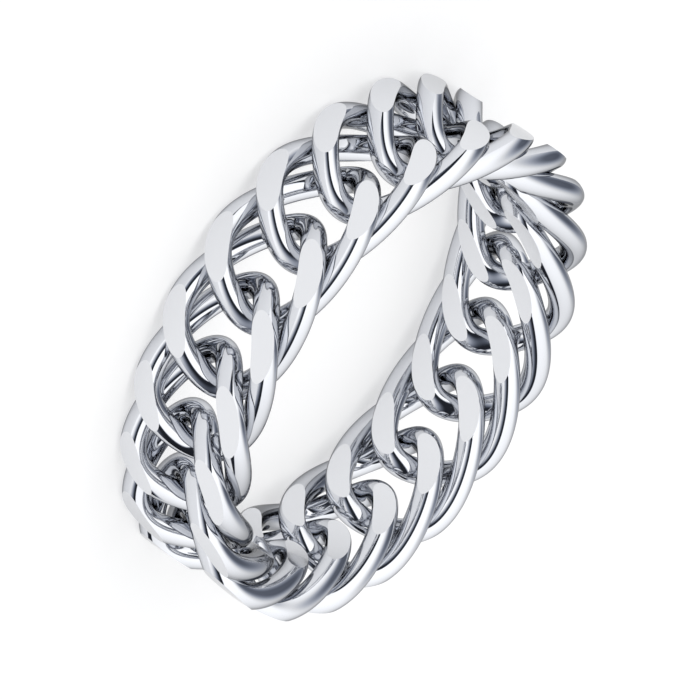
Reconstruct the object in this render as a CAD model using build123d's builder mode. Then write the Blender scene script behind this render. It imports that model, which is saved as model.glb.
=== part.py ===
"""Chain link ring: a double curb chain of round-wire links, closed into a band and turned flush.

The ring lies on its side. The finger hole runs along Z, and the origin is under its centre,
on the surface that the ring rests on. Each link passes through the next two on either side.
"""

import os
from math import cos, sin, tau

from build123d import *

# Driving dimensions, in millimetres
link_count = 20
outer_diameter = 23.4
bore_diameter = 18.8
wire_diameter = 1.15

# One link's wire, measured to the middle of the wire
link_half_length = 3.97
link_half_width = 2.49
# how far the two sides of the link are slid past each other, along the band
side_skew = 0.29
# how far the ends of the link stand off the middle of the band, to opposite sides
end_lean = 0.22
# how far the middle of a side stands out further across the band
side_bulge = 0.10
# how far a side of the link rises to the outside at one end and sinks to the inside at the other
twist_rise = 0.87
# how much longer the high and low stretches of a side are than a plain wave's
crest_length = 0.05
# how far the ends of the link sit nearer the finger than the middles of its sides
end_drop = 0.24
# how far the whole link sits outside the middle of the band's wall
outward_shift = 0.03

# Facets of the round forms
wire_stations = 32
wire_sides = 10
turned_sides_per_link = 2
turning_overrun = 1.0

# Sizes worked out from the driving dimensions
wire_radius = wire_diameter / 2
wall_middle_radius = (outer_diameter + bore_diameter) / 4
pitch_angle = 360 / link_count
turned_sides = link_count * turned_sides_per_link
half_turned_side = 180 / turned_sides


def wire_centre(turn):
    """Return a point on the middle of the first link's wire, where turn runs from 0 to a full turn.

    The link is an oval, bent round the wall of the band and twisted, so that both sides climb
    the same way round the band's wall, as in every curb chain. Its middle is at height zero here.
    """
    along = link_half_length * cos(turn) + side_skew * sin(3 * turn)
    across = link_half_width * sin(turn) - end_lean * cos(turn) - side_bulge * sin(3 * turn)
    twist = -twist_rise * sin(2 * turn) + crest_length * sin(4 * turn)
    angle = along / wall_middle_radius
    radius = wall_middle_radius + outward_shift + twist - end_drop * cos(2 * turn)
    return Vector(radius * cos(angle), radius * sin(angle), across)


def wire_section(centre, behind, ahead):
    """Return the corners of the wire's section at a centre, square to the way the wire runs there."""
    run = (ahead - behind).normalized()
    radial = Vector(centre.X, centre.Y, 0).normalized()
    outward = (radial - run * radial.dot(run)).normalized()
    sideways = run.cross(outward)
    corners = []
    for side in range(wire_sides):
        around = tau * (side + 0.5) / wire_sides
        corners.append(centre + (outward * cos(around) + sideways * sin(around)) * wire_radius)
    return corners


def wire_sections():
    """Return the wire's sections, in order round the link."""
    centres = [wire_centre(tau * station / wire_stations) for station in range(wire_stations)]
    sections = []
    for station, centre in enumerate(centres):
        ahead = centres[(station + 1) % wire_stations]
        sections.append(wire_section(centre, centres[station - 1], ahead))
    return sections


def round_wire_link(sections):
    """Return the first link before it is turned flush: a closed loop of faceted round wire."""
    faces = []
    for station, section in enumerate(sections):
        next_section = sections[(station + 1) % wire_stations]
        for side in range(wire_sides):
            next_side = (side + 1) % wire_sides
            near_first = section[side]
            near_second = section[next_side]
            far_second = next_section[next_side]
            far_first = next_section[side]
            faces.append(Face(Wire.make_polygon([near_first, near_second, far_second])))
            faces.append(Face(Wire.make_polygon([near_first, far_second, far_first])))
    return Solid(Shell(faces))


# The band is as wide as the link, whose two outermost wires lie just as far from the middle
link_sections = wire_sections()
band_width = 2 * max(corner.Z for section in link_sections for corner in section)

# One link, turned flush with the outside of the band and with its bore
with BuildPart() as turned_link:
    with Locations((0, 0, band_width / 2)):
        add(round_wire_link(link_sections))
    with BuildSketch(Plane.XY.offset(-turning_overrun)):
        RegularPolygon(outer_diameter / 2, turned_sides, major_radius=False, rotation=half_turned_side)
    extrude(amount=band_width + 2 * turning_overrun, mode=Mode.INTERSECT)
    with BuildSketch(Plane.XY.offset(-turning_overrun)):
        RegularPolygon(bore_diameter / 2, turned_sides, major_radius=False, rotation=half_turned_side)
    extrude(amount=band_width + 2 * turning_overrun, mode=Mode.SUBTRACT)

# The chain: the same link, set round the finger hole at an even pitch
os.makedirs("parts", exist_ok=True)
for place in range(link_count):
    with BuildPart() as link:
        add(turned_link.part, rotation=(0, 0, place * pitch_angle))
    link.part.label = f"link_{place + 1:02d}"
    export_step(link.part, f"parts/{link.part.label}.step")

link_gaps = [turned_link.part.distance_to(turned_link.part.rotate(Axis.Z, step * pitch_angle)) for step in (1, 2)]
band_wall = (outer_diameter - bore_diameter) / 2
print(f"band {band_width:.2f} wide, wall {band_wall:.2f}, one link {turned_link.part.volume:.2f} mm3")
print(f"gaps to the next link and the one after it: {link_gaps[0]:.3f} and {link_gaps[1]:.3f}")
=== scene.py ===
"""Dress the chain link ring: polished links turned flush, a pale floor, soft light and the photo's view."""

import logging
import math
from dataclasses import dataclass
from enum import Enum

import bpy
from mathutils import Matrix, Vector


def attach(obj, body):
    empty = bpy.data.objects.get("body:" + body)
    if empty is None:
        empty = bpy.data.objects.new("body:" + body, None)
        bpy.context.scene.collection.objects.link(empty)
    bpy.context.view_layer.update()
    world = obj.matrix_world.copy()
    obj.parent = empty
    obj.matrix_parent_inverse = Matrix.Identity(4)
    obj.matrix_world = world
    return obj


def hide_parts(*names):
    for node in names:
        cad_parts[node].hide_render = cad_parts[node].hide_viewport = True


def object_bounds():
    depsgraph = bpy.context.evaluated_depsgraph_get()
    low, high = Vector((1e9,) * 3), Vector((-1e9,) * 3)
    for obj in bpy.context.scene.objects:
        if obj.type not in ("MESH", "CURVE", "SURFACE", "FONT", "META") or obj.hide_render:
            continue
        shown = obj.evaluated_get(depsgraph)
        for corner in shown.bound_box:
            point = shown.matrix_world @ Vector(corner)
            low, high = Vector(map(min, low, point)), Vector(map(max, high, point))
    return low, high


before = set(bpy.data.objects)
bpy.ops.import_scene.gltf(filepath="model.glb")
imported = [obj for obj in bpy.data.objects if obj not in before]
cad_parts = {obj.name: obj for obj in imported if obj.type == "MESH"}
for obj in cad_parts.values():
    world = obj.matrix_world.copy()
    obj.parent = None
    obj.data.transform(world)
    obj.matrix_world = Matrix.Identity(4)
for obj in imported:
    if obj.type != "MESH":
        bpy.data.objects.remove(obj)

CAD_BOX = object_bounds()
LOG = logging.getLogger("chain_link_ring")

MM = 0.001
WHITE = (1.0, 1.0, 1.0, 1.0)
SOCKET_KINDS = {
    int: "NodeSocketInt",
    float: "NodeSocketFloat",
    bpy.types.Material: "NodeSocketMaterial",
}


class Solver(Enum):
    """How the tree cuts the link flush."""

    EXACT = "EXACT"
    MANIFOLD = "MANIFOLD"


class LinkFace(Enum):
    """The two kinds of surface on a link, with the names of the inputs that take their materials."""

    DRAWN_WIRE = "Drawn wire"
    TURNED_FLAT = "Turned flat"


def surface_noise(tree: bpy.types.NodeTree, scale: float, detail: float) -> bpy.types.NodeSocket:
    """Add a noise to a material, fixed to the piece that wears it.

    Args:
        tree: the material's node tree.
        scale: how many patches fit in a metre.
        detail: how many finer layers lie over the first.

    Returns:
        The noise's socket.
    """
    place = tree.nodes.new("ShaderNodeTexCoord")
    texture = tree.nodes.new("ShaderNodeTexNoise")
    texture.inputs["Scale"].default_value = scale
    texture.inputs["Detail"].default_value = detail
    tree.links.new(place.outputs["Object"], texture.inputs["Vector"])
    return texture.outputs["Fac"]


@dataclass(frozen=True)
class PolishedSteel:
    """A polished metal finish.

    Attributes:
        name: the material's name.
        colour: the metal's reflectance, with painted light in it: the same steel is given a brighter colour
            on the turned flats and a darker one on the wire, as painted shade.
        rim: how much of that is left at a grazing view, from 0 to 1; the wire's low rim is painted shade
            along its grazing edges.
        roughness: how much a reflection is blurred.
        roughness_change: how far the roughness wanders either way over the surface.
        wave_height: how high the low waves of the surface are, in metres.
        haze_scale: how many patches of roughness fit in a metre.
        haze_detail: how many finer layers of patches lie over the first.
        wave_scale: how many low waves fit in a metre.
        wave_detail: how many finer layers of waves lie over the first.
    """

    name: str
    colour: tuple[float, float, float]
    rim: float
    roughness: float
    roughness_change: float
    wave_height: float
    haze_scale: float = 900.0
    haze_detail: float = 4.0
    wave_scale: float = 350.0
    wave_detail: float = 1.0

    def material(self) -> bpy.types.Material:
        """Build the node-based material.

        Returns:
            The finished material.
        """
        made = bpy.data.materials.new(self.name)
        made.use_nodes = True
        tree = made.node_tree
        shader = tree.nodes["Principled BSDF"]
        shader.inputs["Base Color"].default_value = (*self.colour, 1.0)
        shader.inputs["Metallic"].default_value = 1.0
        shader.inputs["Specular Tint"].default_value = (self.rim, self.rim, self.rim, 1.0)
        spread = tree.nodes.new("ShaderNodeMapRange")
        spread.inputs["To Min"].default_value = max(0.0, self.roughness - self.roughness_change)
        spread.inputs["To Max"].default_value = self.roughness + self.roughness_change
        tree.links.new(surface_noise(tree, self.haze_scale, self.haze_detail), spread.inputs["Value"])
        tree.links.new(spread.outputs["Result"], shader.inputs["Roughness"])
        bump = tree.nodes.new("ShaderNodeBump")
        bump.inputs["Strength"].default_value = 1.0
        bump.inputs["Distance"].default_value = self.wave_height
        tree.links.new(surface_noise(tree, self.wave_scale, self.wave_detail), bump.inputs["Height"])
        tree.links.new(bump.outputs["Normal"], shader.inputs["Normal"])
        return made


@dataclass
class NodeBench:
    """A node tree under construction, of a link's shape or of the room's light.

    Attributes:
        tree: the node tree being built.
    """

    tree: bpy.types.NodeTree

    def node(self, kind: str, **settings: object) -> bpy.types.Node:
        """Add a node.

        Args:
            kind: the node's type name.
            settings: properties to set on the node.

        Returns:
            The new node.
        """
        made = self.tree.nodes.new(kind)
        for key, value in settings.items():
            setattr(made, key, value)
        return made

    def feed(self, socket: bpy.types.NodeSocket, value: object) -> None:
        """Link a socket to another node's output, or set it to a plain value.

        Args:
            socket: the input to fill.
            value: an output socket, or a value.
        """
        if isinstance(value, bpy.types.NodeSocket):
            self.tree.links.new(value, socket)
        else:
            socket.default_value = value

    def calculate(self, operation: str, *values: object) -> bpy.types.NodeSocket:
        """Add a math node and fill its inputs.

        Args:
            operation: the math node's operation.
            values: its one, two or three operands.

        Returns:
            The result's socket.
        """
        made = self.node("ShaderNodeMath", operation=operation)
        for socket, value in zip(made.inputs, values):
            self.feed(socket, value)
        return made.outputs[0]

    def waves(self, turn: bpy.types.NodeSocket, sizes: bpy.types.Node,
              terms: tuple[tuple[str, int, str], ...]) -> bpy.types.NodeSocket:
        """Add up waves of one turn.

        Args:
            turn: the socket of the angle that all waves read.
            sizes: the group input node that holds each wave's size.
            terms: each wave's function, how often it repeats, and the input that holds its size.

        Returns:
            The sum's socket.
        """
        total = None
        for function, repeats, name in terms:
            angle = self.calculate("MULTIPLY", turn, repeats)
            wave = self.calculate("MULTIPLY", sizes.outputs[name], self.calculate(function, angle))
            total = wave if total is None else self.calculate("ADD", total, wave)
        return total

    def take(self, name: str, value: object) -> None:
        """Give the tree a named input.

        Args:
            name: the input's name.
            value: a value of the kind that the input takes.
        """
        self.tree.interface.new_socket(name, in_out="INPUT", socket_type=SOCKET_KINDS[type(value)])


def run_tree(tree: bpy.types.NodeTree, values: dict[str, object], name: str) -> bpy.types.Mesh:
    """Run a geometry tree on an empty mesh and keep the result as a plain mesh.

    Args:
        tree: the geometry node group.
        values: the values, by the names of the tree's inputs.
        name: the name of the mesh that comes out.

    Returns:
        The plain mesh, with no modifier behind it.
    """
    carrier = bpy.data.objects.new(name + "_carrier", bpy.data.meshes.new(name + "_start"))
    bpy.context.scene.collection.objects.link(carrier)
    modifier = carrier.modifiers.new("tree", "NODES")
    modifier.node_group = tree
    for item in tree.interface.items_tree:
        if item.in_out == "INPUT" and item.name in values:
            modifier[item.identifier] = values[item.name]
    graph = bpy.context.evaluated_depsgraph_get()
    result = bpy.data.meshes.new_from_object(carrier.evaluated_get(graph), depsgraph=graph)
    result.name = name
    carrier.modifiers.remove(modifier)
    bpy.data.objects.remove(carrier)
    return result


@dataclass
class ChainBand:
    """The closed band of interlocked links.

    Lengths are in metres. A link's wire is measured to the middle of the wire, along the band,
    across it, and from the middle of the band's wall outwards. Where a length is below zero,
    its part of the shape goes the other way.

    Attributes:
        link_count: how many links close the band.
        outer_radius: the radius that the outside is turned to.
        bore_radius: the radius of the finger hole.
        band_width: the width of the band along the finger.
        finishes: the finish of each kind of surface, whose colours carry painted light on the flats and
            painted shade on the wire.
        wire_radius: half the wire's thickness.
        half_length: half the link's length, along the band.
        side_skew: how far the link's two sides are slid past each other.
        half_width: half the link's width, across the band.
        lean: how far the link's ends stand off the middle of the band, to opposite sides.
        side_bulge: how far the middle of a side stands out further across the band.
        twist_rise: how far a side rises to the outside and sinks to the inside.
        end_drop: how far the link's ends sink below the middle of its sides.
        crest_length: how much longer the high stretch of a side is than a plain wave's.
        outward_shift: how far the whole link sits outside the middle of the wall.
        stations: how many sections follow the wire once round the link.
        wire_sides: how many sides the wire's section has.
        turned_sides: how many sides the turned surfaces have, all round the band.
        turning_reach: how tall the turning cylinders are, as a share of the band's width.
        sharp_angle: edges sharper than this stay crisp, in degrees.
        turning_tolerance: how far a face may stand off a turned radius and still count as turned.
        solver: how the tree cuts the link flush.
    """

    link_count: int
    outer_radius: float
    bore_radius: float
    band_width: float
    finishes: dict[LinkFace, PolishedSteel]
    wire_radius: float = 0.575 * MM
    half_length: float = 3.97 * MM
    side_skew: float = 0.29 * MM
    half_width: float = 2.49 * MM
    lean: float = -0.22 * MM
    side_bulge: float = -0.10 * MM
    twist_rise: float = -0.87 * MM
    end_drop: float = -0.24 * MM
    crest_length: float = 0.05 * MM
    outward_shift: float = 0.03 * MM
    stations: int = 256
    wire_sides: int = 64
    turned_sides: int = 1440
    turning_reach: float = 1.5
    sharp_angle: float = 12.0
    turning_tolerance: float = 0.0005 * MM
    solver: Solver = Solver.MANIFOLD

    def centre_line(self, bench: NodeBench, sizes: bpy.types.Node) -> bpy.types.NodeSocket:
        """Bend a circle of points into the middle line of the first link's wire.

        Args:
            bench: the tree under construction.
            sizes: the group input node, with the link's sizes.

        Returns:
            The curve's geometry socket.
        """
        circle = bench.node("GeometryNodeCurvePrimitiveCircle")
        bench.feed(circle.inputs["Resolution"], sizes.outputs["Stations"])
        index = bench.node("GeometryNodeInputIndex").outputs[0]
        way_round = bench.calculate("DIVIDE", index, sizes.outputs["Stations"])
        turn = bench.calculate("MULTIPLY", way_round, math.tau)
        length_waves = (("COSINE", 1, "Half length"), ("SINE", 3, "Side skew"))
        width_waves = (("SINE", 1, "Half width"), ("COSINE", 1, "Lean"), ("SINE", 3, "Side bulge"))
        wall_waves = (("SINE", 2, "Twist rise"), ("COSINE", 2, "End drop"), ("SINE", 4, "Crest length"))
        along = bench.waves(turn, sizes, length_waves)
        across = bench.waves(turn, sizes, width_waves)
        rise = bench.waves(turn, sizes, wall_waves)
        middle = bench.calculate("ADD", sizes.outputs["Wall radius"], sizes.outputs["Outward shift"])
        radius = bench.calculate("ADD", middle, rise)
        angle = bench.calculate("DIVIDE", along, sizes.outputs["Wall radius"])
        place = bench.node("ShaderNodeCombineXYZ")
        bench.feed(place.inputs["X"], bench.calculate("MULTIPLY", radius, bench.calculate("COSINE", angle)))
        bench.feed(place.inputs["Y"], bench.calculate("MULTIPLY", radius, bench.calculate("SINE", angle)))
        band_middle = bench.calculate("DIVIDE", sizes.outputs["Band width"], 2.0)
        bench.feed(place.inputs["Z"], bench.calculate("ADD", across, band_middle))
        moved = bench.node("GeometryNodeSetPosition")
        bench.feed(moved.inputs["Geometry"], circle.outputs["Curve"])
        bench.feed(moved.inputs["Position"], place.outputs["Vector"])
        return moved.outputs["Geometry"]

    def turning_cylinder(self, bench: NodeBench, sizes: bpy.types.Node, radius: str) -> bpy.types.NodeSocket:
        """Make the cylinder that the band is turned to, a little taller than the band.

        Args:
            bench: the tree under construction.
            sizes: the group input node.
            radius: the name of the input that holds the cylinder's radius.

        Returns:
            The cylinder's mesh socket.
        """
        cylinder = bench.node("GeometryNodeMeshCylinder")
        bench.feed(cylinder.inputs["Vertices"], sizes.outputs["Turned sides"])
        bench.feed(cylinder.inputs["Radius"], sizes.outputs[radius])
        depth = bench.calculate("MULTIPLY", sizes.outputs["Band width"], self.turning_reach)
        bench.feed(cylinder.inputs["Depth"], depth)
        lift = bench.node("ShaderNodeCombineXYZ")
        bench.feed(lift.inputs["Z"], bench.calculate("DIVIDE", sizes.outputs["Band width"], 2.0))
        raised = bench.node("GeometryNodeTransform")
        bench.feed(raised.inputs["Geometry"], cylinder.outputs["Mesh"])
        bench.feed(raised.inputs["Translation"], lift.outputs["Vector"])
        return raised.outputs["Geometry"]

    def on_turned_face(self, bench: NodeBench, sizes: bpy.types.Node) -> bpy.types.NodeSocket:
        """Find the faces that lie on either turned radius.

        Args:
            bench: the tree under construction.
            sizes: the group input node.

        Returns:
            The socket of the selection.
        """
        axes = bench.node("ShaderNodeSeparateXYZ")
        bench.feed(axes.inputs["Vector"], bench.node("GeometryNodeInputPosition").outputs["Position"])
        east_squared = bench.calculate("MULTIPLY", axes.outputs["X"], axes.outputs["X"])
        north_squared = bench.calculate("MULTIPLY", axes.outputs["Y"], axes.outputs["Y"])
        radius = bench.calculate("SQRT", bench.calculate("ADD", east_squared, north_squared))
        outer = bench.calculate("COMPARE", radius, sizes.outputs["Outer radius"], self.turning_tolerance)
        bore = bench.calculate("COMPARE", radius, sizes.outputs["Bore radius"], self.turning_tolerance)
        return bench.calculate("MAXIMUM", outer, bore)

    def link_tree(self, values: dict[str, object]) -> bpy.types.NodeTree:
        """Build the tree of one link: the wire along its middle line, turned flush outside and inside.

        Args:
            values: the values that the tree will run with, by the names of its inputs.

        Returns:
            The geometry node group.
        """
        bench = NodeBench(bpy.data.node_groups.new("turned_link", "GeometryNodeTree"))
        bench.tree.interface.new_socket("Geometry", in_out="INPUT", socket_type="NodeSocketGeometry")
        for name, value in values.items():
            bench.take(name, value)
        bench.tree.interface.new_socket("Geometry", in_out="OUTPUT", socket_type="NodeSocketGeometry")
        sizes = bench.node("NodeGroupInput")
        section = bench.node("GeometryNodeCurvePrimitiveCircle")
        bench.feed(section.inputs["Resolution"], sizes.outputs["Wire sides"])
        bench.feed(section.inputs["Radius"], sizes.outputs["Wire radius"])
        wire = bench.node("GeometryNodeCurveToMesh")
        bench.feed(wire.inputs["Curve"], self.centre_line(bench, sizes))
        bench.feed(wire.inputs["Profile Curve"], section.outputs["Curve"])
        outside = bench.node("GeometryNodeMeshBoolean", operation="INTERSECT", solver=self.solver.value)
        bench.feed(outside.inputs["Mesh 2"], wire.outputs["Mesh"])
        bench.feed(outside.inputs["Mesh 2"], self.turning_cylinder(bench, sizes, "Outer radius"))
        inside = bench.node("GeometryNodeMeshBoolean", operation="DIFFERENCE", solver=self.solver.value)
        bench.feed(inside.inputs["Mesh 1"], outside.outputs["Mesh"])
        bench.feed(inside.inputs["Mesh 2"], self.turning_cylinder(bench, sizes, "Bore radius"))
        smooth_faces = bench.node("GeometryNodeSetShadeSmooth", domain="FACE")
        bench.feed(smooth_faces.inputs["Geometry"], inside.outputs["Mesh"])
        smooth_faces.inputs["Shade Smooth"].default_value = True
        fold = bench.node("GeometryNodeInputMeshEdgeAngle")
        gentle = bench.calculate("LESS_THAN", fold.outputs["Unsigned Angle"], sizes.outputs["Sharp angle"])
        crisp = bench.node("GeometryNodeSetShadeSmooth", domain="EDGE")
        bench.feed(crisp.inputs["Geometry"], smooth_faces.outputs["Geometry"])
        bench.feed(crisp.inputs["Shade Smooth"], gentle)
        solid = bench.node("GeometryNodeRealizeInstances")
        bench.feed(solid.inputs["Geometry"], crisp.outputs["Geometry"])
        dressed = bench.node("GeometryNodeSetMaterial")
        bench.feed(dressed.inputs["Geometry"], solid.outputs["Geometry"])
        bench.feed(dressed.inputs["Material"], sizes.outputs[LinkFace.DRAWN_WIRE.value])
        turned = bench.node("GeometryNodeSetMaterial")
        bench.feed(turned.inputs["Geometry"], dressed.outputs["Geometry"])
        bench.feed(turned.inputs["Selection"], self.on_turned_face(bench, sizes))
        bench.feed(turned.inputs["Material"], sizes.outputs[LinkFace.TURNED_FLAT.value])
        result = bench.node("NodeGroupOutput")
        bench.feed(result.inputs["Geometry"], turned.outputs["Geometry"])
        return bench.tree

    def first_link(self) -> bpy.types.Mesh:
        """Make the link that stands at the start of the band.

        Returns:
            The link's plain mesh.
        """
        values = {
            "Stations": self.stations,
            "Wire sides": self.wire_sides,
            "Turned sides": self.turned_sides,
            "Wire radius": self.wire_radius,
            "Half length": self.half_length,
            "Side skew": self.side_skew,
            "Half width": self.half_width,
            "Lean": self.lean,
            "Side bulge": self.side_bulge,
            "Twist rise": self.twist_rise,
            "End drop": self.end_drop,
            "Crest length": self.crest_length,
            "Outward shift": self.outward_shift,
            "Wall radius": (self.outer_radius + self.bore_radius) / 2,
            "Outer radius": self.outer_radius,
            "Bore radius": self.bore_radius,
            "Band width": self.band_width,
            "Sharp angle": math.radians(self.sharp_angle),
        }
        for face, finish in self.finishes.items():
            values[face.value] = finish.material()
        return run_tree(self.link_tree(values), values, "turned_link")

    def build(self) -> list[bpy.types.Object]:
        """Set the links round the finger hole and put each in the place of its solid.

        Returns:
            The finished links, in order round the band.
        """
        pattern = self.first_link()
        links = []
        for place in range(self.link_count):
            name = f"link_{place + 1:02d}"
            mesh = pattern.copy()
            mesh.transform(Matrix.Rotation(math.tau * place / self.link_count, 4, "Z"))
            link = bpy.data.objects.new("polished_" + name, mesh)
            bpy.context.scene.collection.objects.link(link)
            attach(link, "root")
            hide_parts(name)
            links.append(link)
            LOG.info("%s: %d faces", link.name, len(mesh.polygons))
        return links


def direction(azimuth: float, elevation: float) -> Vector:
    """Turn two angles into the direction of a place in the room, seen from the ring.

    Args:
        azimuth: how far round the finger hole the place lies, from +X, in degrees.
        elevation: how far above the floor it lies, in degrees.

    Returns:
        The direction, as a vector of length one.
    """
    around, up = math.radians(azimuth), math.radians(elevation)
    return Vector((math.cos(around) * math.cos(up), math.sin(around) * math.cos(up), math.sin(up)))


@dataclass(frozen=True)
class Shade:
    """A darker stretch of the white room: a strip, or a round patch, which the polished wire mirrors.

    Attributes:
        azimuth: where the shade's axis points round the finger hole, from +X, in degrees.
        elevation: how far the axis points above the floor, in degrees.
        opening: the angle between the axis and the middle of the strip, in degrees; 0 is a patch.
        half_width: half the width of the full shade, in degrees.
        near_softness: how far the edge on the axis's side fades out, in degrees.
        far_softness: how far the other edge fades out, in degrees.
        depth: how much light it takes away, from 0 to 1.
    """

    azimuth: float
    elevation: float
    opening: float
    half_width: float
    near_softness: float
    far_softness: float
    depth: float


@dataclass
class Studio:
    """The plain pale floor and the soft light round the ring.

    Attributes:
        shades: the darker stretches of the room.
        floor_half_side: half the floor's side, in metres.
        floor_colour: the floor's colour.
        floor_roughness: how matt the floor is.
        floor_glow: how much light the floor gives by itself, as a light table does.
        room_brightness: how bright the white room is.
        brighter_way: which way the room is brighter, and by how much.
        shade_tint: the colour of the room where it is darkest.
    """

    shades: tuple[Shade, ...]
    floor_half_side: float = 0.6
    floor_colour: tuple[float, float, float] = (0.5, 0.5, 0.5)
    floor_roughness: float = 0.9
    floor_glow: float = 0.54
    room_brightness: float = 1.20
    brighter_way: tuple[float, float, float] = (0.15, 0.20, 0.25)
    shade_tint: tuple[float, float, float] = (0.66, 0.76, 1.0)

    def floor(self) -> bpy.types.Object:
        """Lay the floor that the ring rests on.

        Returns:
            The floor.
        """
        side = self.floor_half_side
        corners = [(-side, -side, 0), (side, -side, 0), (side, side, 0), (-side, side, 0)]
        mesh = bpy.data.meshes.new("floor")
        mesh.from_pydata(corners, [], [(0, 1, 2, 3)])
        floor = bpy.data.objects.new("floor", mesh)
        bpy.context.scene.collection.objects.link(floor)
        paint = bpy.data.materials.new("pale_floor")
        paint.use_nodes = True
        shader = paint.node_tree.nodes["Principled BSDF"]
        shader.inputs["Base Color"].default_value = (*self.floor_colour, 1.0)
        shader.inputs["Roughness"].default_value = self.floor_roughness
        shader.inputs["Emission Color"].default_value = WHITE
        shader.inputs["Emission Strength"].default_value = self.floor_glow
        mesh.materials.append(paint)
        return floor

    def room(self) -> bpy.types.World:
        """Make the white room round the ring, with its darker stretches.

        Returns:
            The world.
        """
        world = bpy.data.worlds.new("white_room")
        bpy.context.scene.world = world
        world.use_nodes = True
        bench = NodeBench(world.node_tree)
        way = bench.node("ShaderNodeTexCoord").outputs["Generated"]
        tilt = bench.node("ShaderNodeVectorMath", operation="DOT_PRODUCT")
        bench.feed(tilt.inputs[0], way)
        bench.feed(tilt.inputs[1], Vector(self.brighter_way))
        light = bench.calculate("ADD", tilt.outputs["Value"], self.room_brightness)
        for shade in self.shades:
            facing = bench.node("ShaderNodeVectorMath", operation="DOT_PRODUCT")
            bench.feed(facing.inputs[0], way)
            bench.feed(facing.inputs[1], direction(shade.azimuth, shade.elevation))
            turn = bench.calculate("ARCCOSINE", facing.outputs["Value"])
            beyond = bench.calculate("SUBTRACT", turn, math.radians(shade.opening))
            short = bench.calculate("MULTIPLY", beyond, -1.0)
            edges = []
            for off, softness in ((short, shade.near_softness), (beyond, shade.far_softness)):
                fade = bench.node("ShaderNodeMapRange", interpolation_type="SMOOTHSTEP")
                bench.feed(fade.inputs["Value"], off)
                bench.feed(fade.inputs["From Min"], math.radians(shade.half_width))
                bench.feed(fade.inputs["From Max"], math.radians(shade.half_width + softness))
                bench.feed(fade.inputs["To Min"], 1.0 - shade.depth)
                bench.feed(fade.inputs["To Max"], 1.0)
                edges.append(fade.outputs["Result"])
            light = bench.calculate("MULTIPLY", light, bench.calculate("MAXIMUM", *edges))
        back = world.node_tree.nodes["Background"]
        tint = bench.node("ShaderNodeMix", data_type="RGBA")
        bench.feed(tint.inputs["Factor"], light)
        bench.feed(tint.inputs["A"], (*self.shade_tint, 1.0))
        bench.feed(tint.inputs["B"], WHITE)
        bench.feed(back.inputs["Color"], tint.outputs["Result"])
        bench.feed(back.inputs["Strength"], light)
        return world

    def build(self) -> None:
        """Set up the floor and the light, and show white as white."""
        self.floor()
        self.room()
        bpy.context.scene.view_settings.view_transform = "Standard"
        LOG.info("studio: floor and %d shades set", len(self.shades))


@dataclass
class PhotoCamera:
    """A long lens that sees the ring from the photo's side, turned as the photo is.

    Attributes:
        aim: the middle of the ring.
        azimuth: where the camera stands round the finger hole, from +X, in degrees.
        elevation: how far it stands above the floor, in degrees.
        roll: how far the camera is turned about its own line of sight, in degrees.
        distance: how far it stands from the ring, in metres.
        lens: focal length, in millimetres.
        sensor_width: how wide the camera's sensor is, in millimetres.
        nearest: the nearest distance that it sees, in metres.
        farthest: the farthest distance that it sees, in metres.
        aside: how far to the right of the ring's middle the picture's middle lies, in metres.
        below: how far below the ring's middle the picture's middle lies, in metres.
    """

    aim: Vector
    azimuth: float = 67.9
    elevation: float = 26.7
    roll: float = 123.1
    distance: float = 0.849
    lens: float = 1028.6
    sensor_width: float = 36.0
    nearest: float = 0.01
    farthest: float = 20.0
    aside: float = -0.200 * MM
    below: float = 0.103 * MM

    def build(self) -> bpy.types.Object:
        """Place the camera and make it the scene's.

        Returns:
            The camera.
        """
        lens = bpy.data.cameras.new("photo_camera")
        lens.lens = self.lens
        lens.sensor_width = self.sensor_width
        lens.clip_start = self.nearest
        lens.clip_end = self.farthest
        camera = bpy.data.objects.new("photo_camera", lens)
        bpy.context.scene.collection.objects.link(camera)
        back = direction(self.azimuth, self.elevation)
        level = back.to_track_quat("Z", "Y").to_matrix().to_4x4()
        camera.matrix_world = (
            Matrix.Translation(self.aim + back * self.distance) @ level
            @ Matrix.Rotation(math.radians(self.roll), 4, "Z")
            @ Matrix.Translation((self.aside, -self.below, 0.0))
        )
        bpy.context.scene.camera = camera
        LOG.info("camera: %.1f round, %.1f up", self.azimuth, self.elevation)
        return camera


BORE_RADIUS = 9.4 * MM
# The wire and the flats are one steel: the flats' brighter colour is painted light, and the wire's darker
# colour and low rim are painted shade.
WIRE_STEEL_PAINTED_SHADE = PolishedSteel(
    name="polished_wire_painted_shade", colour=(0.68, 0.695, 0.73), rim=0.35,
    roughness=0.05, roughness_change=0.02, wave_height=0.006 * MM,
)
FLAT_STEEL_PAINTED_LIGHT = PolishedSteel(
    name="polished_flat_painted_light", colour=(0.77, 0.78, 0.805), rim=0.8,
    roughness=0.12, roughness_change=0.03, wave_height=0.002 * MM,
)
LONG_STRIP = Shade(
    azimuth=-84.0, elevation=46.0, opening=89.0,
    half_width=3.5, near_softness=4.0, far_softness=36.0, depth=0.98,
)
ROUND_PATCH = Shade(
    azimuth=296.0, elevation=25.0, opening=0.0,
    half_width=10.0, near_softness=1.0, far_softness=40.0, depth=0.85,
)


def main() -> None:
    logging.basicConfig(level=logging.INFO, format="%(name)s %(message)s")
    low, high = CAD_BOX
    band = ChainBand(
        link_count=len(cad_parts),
        outer_radius=(high.x - low.x) / 2,
        bore_radius=BORE_RADIUS,
        band_width=high.z - low.z,
        finishes={LinkFace.DRAWN_WIRE: WIRE_STEEL_PAINTED_SHADE, LinkFace.TURNED_FLAT: FLAT_STEEL_PAINTED_LIGHT},
    )
    band.build()
    Studio(shades=(LONG_STRIP, ROUND_PATCH)).build()
    PhotoCamera(aim=(low + high) / 2).build()


if __name__ == "__main__":
    main()
